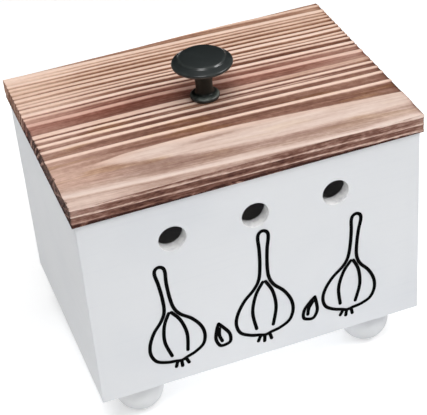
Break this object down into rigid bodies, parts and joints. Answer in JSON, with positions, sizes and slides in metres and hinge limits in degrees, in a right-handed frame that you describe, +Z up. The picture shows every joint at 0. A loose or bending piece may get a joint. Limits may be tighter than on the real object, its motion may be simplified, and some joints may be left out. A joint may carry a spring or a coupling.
{
  "type": "garlic keeper",
  "caption": "Rectangular lidded wooden kitchen keeper box with round vent holes in its front wall, ball feet, and a lift-off board lid with a metal knob.",
  "frame": {"origin": "on the ground under the middle of the box, at the flats that the feet stand on", "axes": "+Z up, -Y towards the front wall with the vent holes, +X to the right seen from the front"},
  "size_m": [0.19, 0.137, 0.1811],
  "materials": {
    "white_paint": "smooth satin white paint on board, faint horizontal grain, slightly eased edges",
    "burnt_pine": "torched and wire-brushed softwood, pale ridges and brown valleys along the board, matt",
    "bare_pine": "planed bare softwood",
    "black_metal": "satin black coated die casting",
    "zinc_steel": "bright zinc-plated steel"
  },
  "bodies": {
    "box": {"front_panel": "white_paint", "back_panel": "white_paint", "left_side_panel": "white_paint", "right_side_panel": "white_paint", "bottom_panel": "white_paint", "foot_front_left": "white_paint", "foot_front_right": "white_paint", "foot_back_left": "white_paint", "foot_back_right": "white_paint", "foot_screw_front_left": "zinc_steel", "foot_screw_front_right": "zinc_steel", "foot_screw_back_left": "zinc_steel", "foot_screw_back_right": "zinc_steel", "corner_brad_front_left_1": "zinc_steel", "corner_brad_front_left_2": "zinc_steel", "corner_brad_front_left_3": "zinc_steel", "corner_brad_front_right_1": "zinc_steel", "corner_brad_front_right_2": "zinc_steel", "corner_brad_front_right_3": "zinc_steel", "corner_brad_back_left_1": "zinc_steel", "corner_brad_back_left_2": "zinc_steel", "corner_brad_back_left_3": "zinc_steel", "corner_brad_back_right_1": "zinc_steel", "corner_brad_back_right_2": "zinc_steel", "corner_brad_back_right_3": "zinc_steel", "bottom_brad_front_1": "zinc_steel", "bottom_brad_front_2": "zinc_steel", "bottom_brad_back_1": "zinc_steel", "bottom_brad_back_2": "zinc_steel", "bottom_brad_left_1": "zinc_steel", "bottom_brad_left_2": "zinc_steel", "bottom_brad_right_1": "zinc_steel", "bottom_brad_right_2": "zinc_steel"},
    "lid": {"lid_board": "burnt_pine", "lid_batten_left": "bare_pine", "lid_batten_right": "bare_pine", "batten_screw_front_left": "zinc_steel", "batten_screw_front_right": "zinc_steel", "batten_screw_back_left": "zinc_steel", "batten_screw_back_right": "zinc_steel", "knob": "black_metal", "knob_screw": "zinc_steel"}
  },
  "joints": [
    {"name": "lid_lift", "type": "slide", "parent": "box", "child": "lid", "axis": [0, 0, 1], "range_m": [0, 0.12]}
  ]
}
